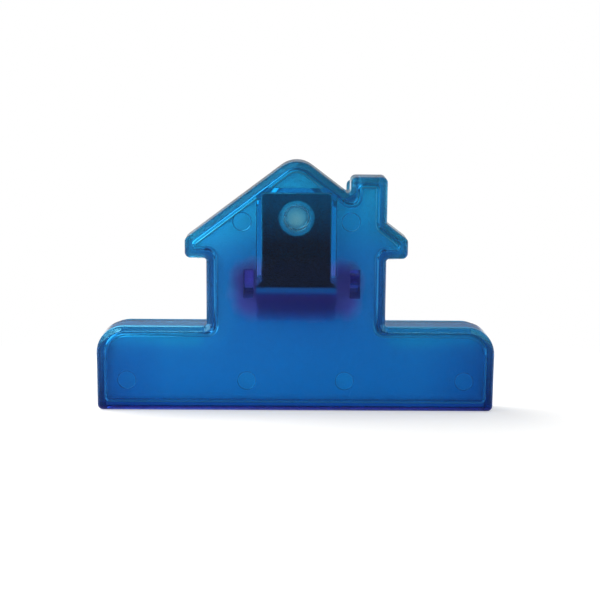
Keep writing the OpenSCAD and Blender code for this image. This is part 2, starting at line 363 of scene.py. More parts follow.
class Plan:
    """Places worked out from the sizes that can be set.

    A half is drawn as seen from its own outside: x to the right, y up from the lip and z towards
    the viewer, with the outer face at z = 0 and the walls running back from it.
    """

    def __init__(self, scene):
        tray = scene.clip_tray
        hinge = scene.clip_hinge
        spring = scene.clip_spring
        self.slope = math.tan(tray.roof_pitch)
        self.eave_y = tray.jaw_h + tray.house_h
        self.eave_top = self.eave_y + tray.eave_h
        self.eave_x = tray.house_w / 2 + tray.eave_out
        self.ridge_y = self.eave_top + self.eave_x * self.slope
        self.chimney_x = tray.house_w / 2 - tray.chimney_w
        self.chimney_y = self.roof_at(self.chimney_x) + tray.chimney_rise
        self.axis_depth = (
            tray.depth
            + hinge.axis_y * math.tan(REST_LEAN)
            + tray.lip_gap / 2 / math.cos(REST_LEAN)
        )
        self.inner_lug_x = spring.bend_w / 2 + hinge.bend_room
        self.outer_lug_x = self.inner_lug_x + hinge.lug_t + hinge.lug_gap
        self.leg_w = spring.bend_w - 2 * spring.bend_out
        self.bend_r = self.axis_depth - tray.panel_t - spring.seat_gap - spring.strip_t / 2
        tip_clear = (tray.wall + spring.tip_room) / math.cos(tray.roof_pitch)
        self.leg_top = self.roof_at(self.leg_w / 2) - tip_clear
        self.hole_y = self.leg_top - spring.hole_in
        self.peg_r = spring.hole_d / 2 - spring.peg_gap
        # From a half's own view to its place in the clip
        self.front = (
            Matrix.Translation((0, 0, HINGE_Z))
            @ Matrix.Rotation(math.pi / 2 + REST_LEAN, 4, "X")
            @ Matrix.Translation((0, -hinge.axis_y, self.axis_depth))
        )
        self.rear = Matrix.Rotation(math.pi, 4, "Z") @ self.front
        # Heights in the clip
        self.shoulder_z = (self.front @ Vector((0.0, tray.jaw_h, 0.0))).z
        self.peg_z = (self.front @ Vector((0.0, self.hole_y, 0.0))).z

    def roof_at(self, x):
        """Height of the roof line above the lip, at a distance x from the middle."""
        return self.ridge_y - abs(x) * self.slope


def outline(plan, tray, chimney_side):
    """Corners of a half as (x, y, radius), with the chimney on the right (1) or the left (-1)."""
    jaw_x = tray.jaw_w / 2
    wall_x = tray.house_w / 2
    corners = [
        (-jaw_x, 0.0, tray.lip_corner_r),
        (jaw_x, 0.0, tray.lip_corner_r),
        (jaw_x, tray.jaw_h, tray.jaw_corner_r),
        (wall_x, tray.jaw_h, tray.hollow_r),
        (wall_x, plan.eave_y, tray.hollow_r),
        (plan.eave_x, plan.eave_y, tray.corner_r),
        (plan.eave_x, plan.eave_top, tray.corner_r),
        (wall_x, plan.roof_at(wall_x), tray.hollow_r),
        (wall_x, plan.chimney_y, tray.corner_r),
        (plan.chimney_x, plan.chimney_y, tray.corner_r),
        (plan.chimney_x, plan.roof_at(plan.chimney_x), tray.hollow_r),
        (0.0, plan.ridge_y, tray.ridge_r),
        (-plan.eave_x, plan.eave_top, tray.corner_r),
        (-plan.eave_x, plan.eave_y, tray.corner_r),
        (-wall_x, plan.eave_y, tray.hollow_r),
        (-wall_x, tray.jaw_h, tray.hollow_r),
        (-jaw_x, tray.jaw_h, tray.jaw_corner_r),
    ]
    if chimney_side < 0:
        corners = [(-x, y, radius) for x, y, radius in reversed(corners)]
    return corners


def sheet(corners, inward=0.0, least_r=0.0, hollow_r=0.0):
    """Flat sheet within corners given as (x, y, radius), which are rounded.

    Where the sheet is moved inwards, its radii shrink to no less than least_r, and its hollow
    corners have the radius hollow_r.
    """
    bm = bmesh.new()
    face = bm.faces.new([bm.verts.new((x, y, 0.0)) for x, y, radius in corners])
    bm.normal_update()
    if inward:
        bmesh.ops.inset_region(
            bm, faces=[face], thickness=inward, use_boundary=True, use_even_offset=True
        )
    arcs = []
    for loop, (x, y, radius) in zip(face.loops, corners):
        corner = loop.vert.co.copy()
        before = (loop.link_loop_prev.vert.co - corner).normalized()
        after = (loop.link_loop_next.vert.co - corner).normalized()
        turn = math.pi - before.angle(after)
        if inward:
            radius = max(radius - inward, least_r) if loop.is_convex else hollow_r
        start = corner + before * radius * math.tan(turn / 2)
        centre = corner + (before + after).normalized() * radius / math.cos(turn / 2)
        arcs.append((start, centre, turn if loop.is_convex else -turn, radius))
    bm.clear()
    for start, centre, turn, radius in arcs:
        first = bm.verts.new(start)
        if radius:
            steps = max(ARC_LEAST, round(abs(turn) / ARC_STEP))
            bmesh.ops.spin(
                bm, geom=[first], cent=centre, axis=(0.0, 0.0, 1.0), angle=turn, steps=steps
            )
    bmesh.ops.remove_doubles(bm, verts=bm.verts, dist=WELD)
    bm.faces.new(bm.verts)
    bm.normal_update()
    return bm


def first_face(parts):
    """The first face among the parts that an operator made."""
    return next(part for part in parts if isinstance(part, bmesh.types.BMFace))


def thicken(bm, depth):
    """Extrudes a flat sheet straight back into a closed solid, and returns the new back face."""
    grown = bmesh.ops.extrude_face_region(bm, geom=list(bm.faces))["geom"]
    moved = [part for part in grown if isinstance(part, bmesh.types.BMVert)]
    bmesh.ops.translate(bm, verts=moved, vec=(0.0, 0.0, -depth))
    bmesh.ops.recalc_face_normals(bm, faces=bm.faces)
    return first_face(grown)


def cylinder(r, run, facets):
    """Closed cylinder along z, with its middle at the origin."""
    bm = bmesh.new()
    bmesh.ops.create_cone(bm, cap_ends=True, segments=facets, radius1=r, radius2=r, depth=run)
    return bm


def stand_on_edge(bm, x, y, z):
    """Turns a flat plate so that its thickness runs along x and its height along z, and places it."""
    turn = Matrix(((0, 0, -1, x), (1, 0, 0, y), (0, 1, 0, z), (0, 0, 0, 1)))
    bmesh.ops.transform(bm, matrix=turn, verts=bm.verts)
    bmesh.ops.recalc_face_normals(bm, faces=bm.faces)


def round_edges(bm, edges, radius, facets):
    """Rounds edges with an arc, and returns the faces of the rounding."""
    made = bmesh.ops.bevel(
        bm,
        geom=list(edges),
        offset=radius,
        affect="EDGES",
        segments=facets,
        profile=0.5,
        material=-1,
        clamp_overlap=False,
    )
    return made["faces"]


def sharp_edges(bm):
    """Edges whose two faces meet sharply."""
    return [e for e in bm.edges if len(e.link_faces) == 2 and e.calc_face_angle(0.0) > SHARP]


def level_edges(bm, z):
    """Edges that lie flat at a height z."""
    return [e for e in bm.edges if all(abs(v.co.z - z) < WELD for v in e.verts)]


def mark(faces, region):
    """Marks faces with the region of the moulding that they belong to."""
    for face in faces:
        face.material_index = region


def absorb(target, source):
    """Adds a finished solid to a mesh under way."""
    mesh = bpy.data.meshes.new("solid")
    source.to_mesh(mesh)
    source.free()
    target.from_mesh(mesh)
    bpy.data.meshes.remove(mesh)


def work_object(bm, name):
    """Object that holds a mesh under way, with a slot for each region."""
    mesh = bpy.data.meshes.new(name)
    bm.to_mesh(mesh)
    bm.free()
    for region in LOOKS:
        mesh.materials.append(None)
    made = bpy.data.objects.new(name, mesh)
    bpy.context.scene.collection.objects.link(made)
    return made


def settle_modifiers(made):
    """Applies an object's modifiers to its mesh."""
    bpy.context.view_layer.update()
    graph = bpy.context.evaluated_depsgraph_get()
    settled = bpy.data.meshes.new_from_object(made.evaluated_get(graph))
    settled.name = made.name
    before = made.data
    made.modifiers.clear()
    made.data = settled
    bpy.data.meshes.remove(before)


def combine(made, tool_bm, operation):
    """Unites an object with a solid, or cuts the solid out of it."""
    tool = work_object(tool_bm, made.name + "_tool")
    step = made.modifiers.new(operation, "BOOLEAN")
    step.operation = operation
    step.solver = "EXACT"
    step.material_mode = "INDEX"
    step.object = tool
    settle_modifiers(made)
    clean = bmesh.new()
    clean.from_mesh(made.data)
    bmesh.ops.dissolve_degenerate(clean, edges=clean.edges, dist=WELD / 2)
    clean.to_mesh(made.data)
    clean.free()
    spent = tool.data
    bpy.data.objects.remove(tool)
    bpy.data.meshes.remove(spent)


def tray_shell(tray, corners):
    """Bare tray: a rounded outer shell and a filleted inner shell, joined by a rim."""
    shell = sheet(corners)
    bmesh.ops.delete(shell, geom=[thicken(shell, tray.depth)], context="FACES_ONLY")
    mark(shell.faces, WALL)
    rounded = round_edges(shell, level_edges(shell, 0.0), tray.edge_r, EDGE_FACETS)
    mark(rounded, EDGE)
    # Painted shade: the rounding along the lip gets a violet tint
    mark([f for f in rounded if all(v.co.y < tray.edge_r + WELD for v in f.verts)], LIP)
    # Painted highlight: the rounding along the shoulders gets a pale tint that stands in for light from
    # above
    mark([f for f in rounded if abs(f.calc_center_median().y - tray.jaw_h) < SHOULDER_FADE], SHOULDER_HIGHLIGHT)
    mark([f for f in shell.faces if all(abs(v.co.z) < WELD for v in f.verts)], PANEL)
    inner = sheet(corners, tray.wall, tray.inner_r, tray.inner_hollow_r)
    bmesh.ops.translate(inner, verts=inner.verts, vec=(0.0, 0.0, -tray.panel_t))
    back = thicken(inner, tray.depth - tray.panel_t)
    bmesh.ops.delete(inner, geom=[back], context="FACES_ONLY")
    mark(inner.faces, MATT)
    fillet = round_edges(inner, level_edges(inner, -tray.panel_t), tray.floor_r, EDGE_FACETS)
    # The fillet is matt only along the jaw's sides
    low = tray.wall + tray.floor_r
    high = tray.jaw_h - tray.jaw_corner_r
    mark([f for f in fillet if not low <= f.calc_center_median().y <= high], CLEAR)
    bmesh.ops.reverse_faces(inner, faces=inner.faces)
    absorb(shell, inner)
    rim = level_edges(shell, -tray.depth)
    mark(bmesh.ops.bridge_loops(shell, edges=rim)["faces"], RIM)
    bmesh.ops.recalc_face_normals(shell, faces=shell.faces)
    round_edges(shell, rim, tray.rim_r, BREAK_FACETS)
    return shell


def lug(plan, tray, hinge, x):
    """Hinge lug: a plate from the panel to the hinge axis with a round end."""
    root = plan.axis_depth - tray.panel_t + BITE
    r = hinge.lug_r
    made = sheet([(-r, -r, r), (r, -r, r), (r, root, 0.0), (-r, root, 0.0)])
    thicken(made, hinge.lug_t)
    round_edges(made, sharp_edges(made), hinge.break_r, BREAK_FACETS)
    stand_on_edge(made, x, hinge.axis_y, -plan.axis_depth)
    return made


def hinge_bar(plan, hinge, x, run, r, break_r):
    """Round bar along the hinge axis from x for a run, with its edges broken where it has a break_r."""
    made = cylinder(r, run, BAR_FACETS)
    if break_r:
        round_edges(made, sharp_edges(made), break_r, BREAK_FACETS)
    place = Matrix.Translation((x + run / 2, hinge.axis_y, -plan.axis_depth))
    bmesh.ops.transform(made, matrix=place @ Matrix.Rotation(math.pi / 2, 4, "Y"), verts=made.verts)
    return made


def disc(x, y, top, height, r, round_r, facets):
    """Round boss that stands back from the panel, with a rounded end."""
    made = cylinder(r, height + BITE, BOSS_FACETS)
    end = -(height + BITE) / 2
    mark(round_edges(made, level_edges(made, end), round_r, facets), CLEAR)
    middle = Vector((x, y, -top + BITE + end))
    bmesh.ops.translate(made, verts=made.verts, vec=middle)
    return made


def leg_rib(plan, tray, hinge, spring):
    """Rib that locates the leg: two sides and a bar across its tip."""
    inner = plan.leg_w / 2 + spring.rib_gap
    outer = inner + spring.rib_t
    foot = hinge.axis_y + spring.rib_start
    top = plan.leg_top + spring.rib_gap
    crown = top + spring.rib_t
    # The bar's ends are cut along the roof, clear of its wall
    clear = (tray.wall + 2 * spring.rib_gap) / math.cos(tray.roof_pitch)
    end = (plan.ridge_y - clear - crown) / plan.slope
    made = sheet([
        (-outer, foot, 0.0),
        (-inner, foot, 0.0),
        (-inner, top, 0.0),
        (inner, top, 0.0),
        (inner, foot, 0.0),
        (outer, foot, 0.0),
        (outer, plan.roof_at(outer) - clear, 0.0),
        (end, crown, 0.0),
        (-end, crown, 0.0),
        (-outer, plan.roof_at(outer) - clear, 0.0),
    ])
    back = thicken(made, spring.rib_h + BITE)
    round_edges(made, back.edges, hinge.break_r, BREAK_FACETS)
    bmesh.ops.translate(made, verts=made.verts, vec=(0.0, 0.0, -tray.panel_t + BITE))
    return made


def lip_land(tray):
    """Land that brings the bottom wall's rim up to the plane where the lips meet."""
    lean = math.tan(REST_LEAN)
    low = BITE / 2
    high = tray.wall - BITE / 2
    run = tray.jaw_w - 2 * tray.wall
    made = sheet([
        (low, -tray.depth + BITE, 0.0),
        (low, -tray.depth - low * lean, 0.0),
        (high, -tray.depth - high * lean, 0.0),
        (high, -tray.depth + BITE, 0.0),
    ])
    thicken(made, run)
    stand_on_edge(made, -run / 2, 0.0, 0.0)
    return made


def pad_places(plan, tray):
    """Middles of the ejector pads."""
    right = [
        (tray.jaw_w / 2 - tray.jaw_pad_in, tray.jaw_pad_y),
        (tray.jaw_pad_mid, tray.jaw_pad_y),
        (tray.roof_pad_mid, plan.hole_y - tray.roof_pad_drop),
    ]
    return [(side * x, y) for side in (-1, 1) for x, y in right]


def moulded_half(scene, plan, name, chimney_side):
    """One moulding with its hinge lugs, stub pin, peg, rib, lip land and ejector pads."""
    tray = scene.clip_tray
    hinge = scene.clip_hinge
    spring = scene.clip_spring
    made = work_object(tray_shell(tray, outline(plan, tray, chimney_side)), name)
    pin_run = hinge.lug_gap + hinge.lug_t
    pin_x = -plan.inner_lug_x - hinge.lug_t - pin_run
    bore_r = hinge.pin_r + hinge.pin_clearance
    bore_x = plan.outer_lug_x - BITE
    pads = [
        disc(x, y, tray.panel_t, tray.pad_h, tray.pad_d / 2, tray.pad_h, PAD_FACETS)
        for x, y in pad_places(plan, tray)
    ]
    peg = disc(
        0.0, plan.hole_y, tray.panel_t, spring.peg_h, plan.peg_r, spring.peg_dome, PEG_FACETS
    )
    mark(peg.faces, PEG)
    lugs = [
        lug(plan, tray, hinge, -plan.inner_lug_x - hinge.lug_t),
        lug(plan, tray, hinge, plan.outer_lug_x),
    ]
    pin = hinge_bar(plan, hinge, pin_x, pin_run + BITE, hinge.pin_r, hinge.break_r)
    bore = hinge_bar(plan, hinge, bore_x, hinge.lug_t + 2 * BITE, bore_r, 0.0)
    for operation, region, solids in (
        ("UNION", CLEAR, [lip_land(tray)]),
        ("UNION", CLEAR, [leg_rib(plan, tray, hinge, spring)]),
        ("UNION", PADS, pads),
        ("UNION", PEG, [peg]),
        ("UNION", LUGS, lugs),
        ("UNION", LUGS, [pin]),
        ("DIFFERENCE", LUGS, [bore]),
    ):
        tool = bmesh.new()
        for solid in solids:
            mark([f for f in solid.faces if not f.material_index], region)
            absorb(tool, solid)
        combine(made, tool, operation)
    return made


def finish_shading(made):
    """Smooth shading that keeps crisp edges crisp and flat faces flat."""
    made.data.shade_smooth()
    made.data.set_sharp_from_angle(angle=CRISP)
    weights = made.modifiers.new("Flat faces", "WEIGHTED_NORMAL")
    weights.keep_sharp = True
    settle_modifiers(made)


def mark_looks(made, colours, shoulder_z):
    """Turns the regions of a moulding into attributes: tint, how matt and how milky its faces are."""
    mesh = made.data
    looks = [LOOKS[face.material_index] for face in mesh.polygons]
    shades = []
    for face, look in zip(mesh.polygons, looks):
        shade = Vector(getattr(colours, look[0]))
        # The painted highlight on the shoulders fades into the edge's blue away from them
        if face.material_index == SHOULDER_HIGHLIGHT:
            off = abs(face.center.z - shoulder_z)
            near = (SHOULDER_FADE - off) / (SHOULDER_FADE - SHOULDER_FULL)
            near = min(max(near, 0.0), 1.0)
            shade = Vector(colours.edge).lerp(shade, near * near * (3.0 - 2.0 * near))
        shades.extend(shade)
    mesh.materials.clear()
    mesh.polygons.foreach_set("material_index", [0] * len(looks))
    tints = mesh.attributes.new("tint", "FLOAT_VECTOR", "FACE")
    tints.data.foreach_set("vector", shades)
    matt = mesh.attributes.new("matt", "FLOAT", "FACE")
    matt.data.foreach_set("value", [look[1] for look in looks])
    milky = mesh.attributes.new("milky", "FLOAT", "FACE")
    milky.data.foreach_set("value", [look[2] for look in looks])


def half_strip(plan, hinge, spring):
    """Half of the spring: from the lowest point of its bend to the tip of the front leg."""
    axis = Vector((0.0, 0.0, HINGE_Z))
    up = Vector((0.0, -math.sin(REST_LEAN), math.cos(REST_LEAN)))
    flare_turn = spring.flare_drop / plan.bend_r
    flare_rise = spring.bend_out - spring.flare_drop
    leg_rise = plan.leg_top - hinge.axis_y - flare_rise
    half = bmesh.new()
    bmesh.ops.create_grid(half, x_segments=1, y_segments=1, size=0.5)
    size = Matrix.Diagonal((spring.bend_w, spring.strip_t, 1.0, 1.0))
    lowest = Matrix.Translation(axis - Vector((0.0, 0.0, plan.bend_r)))
    bmesh.ops.transform(
        half, matrix=lowest @ Matrix.Rotation(math.pi / 2, 4, "X") @ size, verts=half.verts
    )
    swept = bmesh.ops.spin(
        half,
        geom=half.verts[:] + half.edges[:] + half.faces[:],
        cent=axis,
        axis=(1.0, 0.0, 0.0),
        angle=-(math.pi / 2 - REST_LEAN - flare_turn),
        steps=BEND_STEPS,
    )
    end = first_face(swept["geom_last"])
    hinge_turn = (
        Matrix.Translation(axis)
        @ Matrix.Rotation(-flare_turn, 4, "X")
        @ Matrix.Translation(-axis)
    )
    width = spring.bend_w
    for step, next_width in (
        (hinge_turn, plan.leg_w + 2 * flare_rise),
        (Matrix.Translation(up * flare_rise), plan.leg_w),
        (Matrix.Translation(up * leg_rise), plan.leg_w),
    ):
        end = first_face(bmesh.ops.extrude_face_region(half, geom=[end, *end.edges])["geom"])
        narrow = Matrix.Diagonal((next_width / width, 1.0, 1.0, 1.0))
        bmesh.ops.transform(half, matrix=step @ narrow, verts=end.verts)
        width = next_width
    bmesh.ops.recalc_face_normals(half, faces=half.faces)
    tip_corners = [e for e in end.edges if abs(e.verts[0].co.x - e.verts[1].co.x) < WELD]
    round_edges(half, tip_corners, spring.tip_r, TIP_FACETS)
    return half


def spring_strip(scene, plan, name):
    """Steel strip bent round the hinge axis, with a leg along each panel and a hole in each leg."""
    spring = scene.clip_spring
    made = work_object(half_strip(plan, scene.clip_hinge, spring), name)
    hole = cylinder(spring.hole_d / 2, HOLE_REACH * spring.strip_t, HOLE_FACETS)
    seat = -scene.clip_tray.panel_t - spring.seat_gap - spring.strip_t / 2
    place = plan.front @ Matrix.Translation((0.0, plan.hole_y, seat))
    bmesh.ops.transform(hole, matrix=place, verts=hole.verts)
    combine(made, hole, "DIFFERENCE")
    strip = bmesh.new()
    strip.from_mesh(made.data)
    cut = [f for f in strip.faces if all(abs(v.co.y) < WELD for v in f.verts)]
    bmesh.ops.delete(strip, geom=cut, context="FACES_ONLY")
    bmesh.ops.mirror(
        strip,
        geom=strip.verts[:] + strip.edges[:] + strip.faces[:],
        matrix=Matrix.Identity(4),
        merge_dist=WELD,
        axis="Y",
    )
    bmesh.ops.recalc_face_normals(strip, faces=strip.faces)
    round_edges(strip, sharp_edges(strip), spring.edge_r, BREAK_FACETS)
    strip.to_mesh(made.data)
    strip.free()
    return made


def add_node(tree, kind, inputs=None, **settings):
    """Adds a shader node: settings are its own, and each input is a value or the socket that feeds it."""
    node = tree.nodes.new("ShaderNode" + kind)
    for name, value in settings.items():
        setattr(node, name, value)
    for name, value in (inputs or {}).items():
        if isinstance(value, bpy.types.NodeSocket):
            tree.links.new(value, node.inputs[name])
        else:
            node.inputs[name].default_value = value
    return node


def new_material(name):
    """An empty node material."""
    made = bpy.data.materials.new(name)
    made.use_nodes = True
    made.node_tree.nodes.clear()
    return made


def outside_box(tree, point, middle, half_sizes):
    """Distance of a point from a box, given by its middle and half sizes, and zero inside it."""
    offset = add_node(tree, "VectorMath", {0: point, 1: middle}, operation="SUBTRACT")
    spread = add_node(tree, "VectorMath", {0: offset.outputs[0]}, operation="ABSOLUTE")
    beyond = add_node(tree, "VectorMath", {0: spread.outputs[0], 1: half_sizes}, operation="SUBTRACT")
    past = add_node(tree, "VectorMath", {0: beyond.outputs[0], 1: (0.0, 0.0, 0.0)}, operation="MAXIMUM")
    return add_node(tree, "VectorMath", {0: past.outputs[0]}, operation="LENGTH").outputs["Value"]


def peg_spot(tree, place, plan):
    """One at the middle of the peg, and zero past the edge of the spot of painted light round it."""
    reach = outside_box(tree, place, (0.0, 0.0, plan.peg_z), (0.0, ANY, 0.0))
    spot = add_node(
        tree,
        "MapRange",
        {"Value": reach, "From Min": SPOT_FULL, "From Max": SPOT_END, "To Min": 1.0, "To Max": 0.0},
        interpolation_type="SMOOTHSTEP",
    )
    return spot.outputs["Result"]


def hinge_painted_shade(tree, place):
    """Share of the painted violet shade: most round the hinge, with a ragged edge, and less at the leg.
    """
    blotch = add_node(tree, "TexNoise", {"Vector": place, "Scale": 1 / BLOTCH_SIZE, "Detail": 2.0})
    ragged = add_node(
        tree,
        "Math",
        {0: blotch.outputs["Fac"], 1: HINGE_SHADE_STRAY, 2: outside_box(tree, place, *HINGE_ZONE)},
        operation="MULTIPLY_ADD",
    )
    hinge_shade = add_node(
        tree,
        "MapRange",
        {
            "Value": ragged.outputs[0],
            "From Min": HINGE_SHADE_FULL,
            "From Max": HINGE_SHADE_END,
            "To Min": HINGE_SHADE_SHARE,
            "To Max": 0.0,
        },
        interpolation_type="SMOOTHSTEP",
    )
    left = add_node(
        tree,
        "MapRange",
        {"Value": outside_box(tree, place, *LEG_ZONE), "From Max": LEG_FADE, "To Min": LEG_SHARE},
    )
    return add_node(
        tree, "Math", {0: hinge_shade.outputs["Result"], 1: left.outputs["Result"]}, operation="MULTIPLY"
    ).outputs[0]


def painted_tones(tree, place, tint, house_x, end_tone):
    """A tint with painted light on the roof and under the shoulders, and painted shade at the jaw's ends
    and along the lip.
    """
    up = add_node(tree, "SeparateXYZ", {"Vector": place}).outputs["Z"]
    out = outside_box(tree, place, (0.0, 0.0, 0.0), (house_x, ANY, ANY))
    roof, high, beside, end, lip = (
        add_node(
            tree,
            "MapRange",
            {"Value": value, "From Min": start, "From Max": full},
            interpolation_type=kind,
        ).outputs["Result"]
        for value, start, full, kind in (
            (up, ROOF_START, ROOF_FULL, "SMOOTHSTEP"),
            (up, BAND_START, BAND_FULL, "SMOOTHSTEP"),
            (out, 0.0, BAND_OUT, "LINEAR"),
            (out, END_START, END_FULL, "LINEAR"),
            (up, LIP_START, LIP_FULL, "LINEAR"),
        )
    )
    band = add_node(tree, "Math", {0: beside, 1: high}, operation="MULTIPLY").outputs[0]
    for share, tone in ((roof, ROOF_PAINTED_LIGHT), (band, BAND_PAINTED_LIGHT), (end, end_tone), (lip, LIP_PAINTED_SHADE)):
        tint = add_node(
            tree,
            "Mix",
            {0: share, COLOUR_A: tint, COLOUR_B: tone},
            data_type="RGBA",
            blend_type="MULTIPLY",
        ).outputs[MIXED_COLOUR]
    return tint


def pitted_surface(tree, place, matt, violet):
    """Roughness and normal: a slightly wavy polish outside, and fine pits where the inside is matt."""
    grain = add_node(tree, "TexNoise", {"Vector": place, "Scale": 1 / PIT_SIZE, "Detail": 0.0})
    waves = add_node(tree, "TexNoise", {"Vector": place, "Scale": 1 / WAVE_SIZE, "Detail": 1.0})
    lifted = add_node(
        tree, "Math", {0: violet, 1: PIT_LIFT, 2: grain.outputs["Fac"]}, operation="MULTIPLY_ADD"
    )
    pits = add_node(
        tree,
        "MapRange",
        {
            "Value": lifted.outputs[0],
            "From Min": PIT_LEVELS[0],
            "From Max": PIT_LEVELS[1],
            "To Min": PIT_ROUGH[0],
            "To Max": PIT_ROUGH[1],
        },
    )
    polish = add_node(
        tree,
        "MapRange",
        {"Value": waves.outputs["Fac"], "To Min": POLISH_ROUGH[0], "To Max": POLISH_ROUGH[1]},
    )
    rough = add_node(
        tree, "Mix", {0: matt, NUMBER_A: polish.outputs["Result"], NUMBER_B: pits.outputs["Result"]}
    )
    relief = add_node(tree, "Math", {0: matt, 1: grain.outputs["Fac"]}, operation="MULTIPLY")
    bump = add_node(
        tree, "Bump", {"Height": relief.outputs[0], "Strength": 0.05, "Distance": GRAIN_DEPTH}
    )
    return rough.outputs[0], bump.outputs["Normal"]


def clear_polystyrene(scene, plan):
    """Clear polystyrene dyed blue, injection moulded: polished outside, spark-eroded inside.

    The polish gives sharp edges and bright rims, the fine pits of the inside blur what lies
    further in and glow with the light from above, and the blue deepens where the plastic is thick.
    Painted light and shade are mixed into its colour: violet shade round the hinge, light that makes
    the roof greener and lighter and the band under the shoulders brighter, shade at the jaw's ends
    and along the lip, a pale, milky spot of light over the peg, and a highlight along the shoulders.
    """
    colours = scene.clip_colours
    made = new_material("Clear_polystyrene_dyed_blue")
    tree = made.node_tree
    place = add_node(tree, "TexCoord").outputs["Object"]
    tint, matt, milky = (
        add_node(tree, "Attribute", attribute_name=name) for name in ("tint", "matt", "milky")
    )
    spot = peg_spot(tree, place, plan)
    violet = hinge_painted_shade(tree, place)
    rough, normal = pitted_surface(tree, place, matt.outputs["Fac"], violet)
    haze = add_node(
        tree, "Math", {0: spot, 1: SPOT_HAZE, 2: milky.outputs["Fac"]}, operation="MULTIPLY_ADD"
    )
    through = add_node(tree, "Math", {0: 1.0, 1: haze.outputs[0]}, operation="SUBTRACT")
    shift = add_node(tree, "Math", {0: violet, 1: through.outputs[0]}, operation="MULTIPLY")
    dye_and_painted_light = painted_tones(tree, place, tint.outputs["Color"], scene.clip_tray.house_w / 2, (*colours.jaw_end_shade, 1.0))
    for share, dyed in ((spot, colours.spot), (shift.outputs[0], colours.hinge_shade)):
        dye_and_painted_light = add_node(
            tree, "Mix", {0: share, COLOUR_A: dye_and_painted_light, COLOUR_B: (*dyed, 1.0)}, data_type="RGBA"
        ).outputs[MIXED_COLOUR]
    surface = add_node(
        tree,
        "BsdfPrincipled",
        {
            "Base Color": dye_and_painted_light,
            "Roughness": rough,
            "IOR": 1.55,
            "Transmission Weight": through.outputs[0],
            "Specular Tint": (*colours.gloss, 1.0),
            "Normal": normal,
        },
    )
    depth = add_node(tree, "VolumeAbsorption", {"Color": (*colours.depth, 1.0), "Density": DYE_DENSITY})
    add_node(
        tree, "OutputMaterial", {"Surface": surface.outputs["BSDF"], "Volume": depth.outputs["Volume"]}
    )
    return made


def tempered_steel(colours):
    """Tempered spring steel strip, cold rolled: dark, satin, with fine lines along its length, and
    painted light and shade up its height.
    """
    made = new_material("Tempered_spring_steel")
    tree = made.node_tree
    where = add_node(tree, "TexCoord")
    along = add_node(
        tree,
        "Mapping",
        {"Vector": where.outputs["Object"], "Scale": (1 / LINE_WIDTH, 1 / LINE_RUN, 1 / LINE_RUN)},
    )
    lines = add_node(tree, "TexNoise", {"Vector": along.outputs["Vector"], "Scale": 1.0, "Detail": 3.0})
    height = add_node(tree, "SeparateXYZ", {"Vector": where.outputs["Object"]})
    low = STRIP_BOX[0].z
    high = STRIP_BOX[1].z
    rise = add_node(tree, "MapRange", {"Value": height.outputs["Z"], "From Min": low, "From Max": high})
    temper = add_node(tree, "ValToRGB", {"Fac": rise.outputs["Result"]})
    # Painted light and shade by height, from the bend up to the tips: violet painted shade on the bend, a
    # painted highlight line where the bend starts, near-black legs, and paler tips lit from above
    stops = (
        (HINGE_Z - 5.4 * MM, colours.bend_shade),
        (HINGE_Z - 4.4 * MM, colours.line),
        (HINGE_Z - 3.2 * MM, colours.line),
        (HINGE_Z - 2.6 * MM, colours.dark),
        (HINGE_Z + 8.0 * MM, colours.dark),
        (high, colours.steel),
    )
    ramp = temper.color_ramp.elements
    while len(ramp) < len(stops):
        ramp.new(0.5)
    for stop, (z, stop_colour) in zip(ramp, stops):
        stop.position = (z - low) / (high - low)
        stop.color = (*stop_colour, 1.0)
    rough = add_node(
        tree,
        "MapRange",
        {"Value": lines.outputs["Fac"], "To Min": STEEL_ROUGH[0], "To Max": STEEL_ROUGH[1]},
    )
    bump = add_node(
        tree, "Bump", {"Height": lines.outputs["Fac"], "Strength": 0.2, "Distance": GRAIN_DEPTH}
    )
    surface = add_node(
        tree,
        "BsdfPrincipled",
        {
            "Base Color": temper.outputs["Color"],
            "Metallic": 1.0,
            "Roughness": rough.outputs["Result"],
            "Normal": bump.outputs["Normal"],
        },
    )
    add_node(tree, "OutputMaterial", {"Surface": surface.outputs["BSDF"]})
    return made


def white_to_the_eye(tree):
    """One for rays that show the background: from the camera, in a gloss or through the plastic."""
    path = add_node(tree, "LightPath")
    seen = add_node(
        tree,
        "Math",
        {0: path.outputs["Is Camera Ray"], 1: path.outputs["Is Glossy Ray"]},
        operation="MAXIMUM",
    )
    return add_node(
        tree, "Math", {0: seen.outputs[0], 1: path.outputs["Is Transmission Ray"]}, operation="MAXIMUM"
    ).outputs[0]


def studio_world(scene):
    """White backdrop all round the horizon under a dimmer ceiling, and half of it on matt surfaces."""
    world = bpy.data.worlds.new("Studio")
    world.use_nodes = True
    tree = world.node_tree
    tree.nodes.clear()
    where = add_node(tree, "TexCoord")
    up = add_node(tree, "SeparateXYZ", {"Vector": where.outputs["Generated"]})
    ceiling = add_node(
        tree,
        "MapRange",
        {
            "Value": up.outputs["Z"],
            "From Min": SURROUND_TOP,
            "From Max": CEILING_START,
            "To Min": 1.0,
            "To Max": CEILING_LIGHT,
        },
        interpolation_type="SMOOTHSTEP",
    )
    path = add_node(tree, "LightPath")
    shown = add_node(
        tree,
        "Math",
        {0: path.outputs["Is Camera Ray"], 1: ceiling.outputs["Result"]},
        operation="MAXIMUM",
    )
    level = add_node(
        tree, "Mix", {0: white_to_the_eye(tree), NUMBER_A: MATT_LIGHT, NUMBER_B: shown.outputs[0]}
    )
    surround = add_node(
        tree, "Background", {"Color": (1.0, 1.0, 1.0, 1.0), "Strength": level.outputs[0]}
    )
    add_node(tree, "OutputWorld", {"Surface": surround.outputs["Background"]})
    scene.world = world


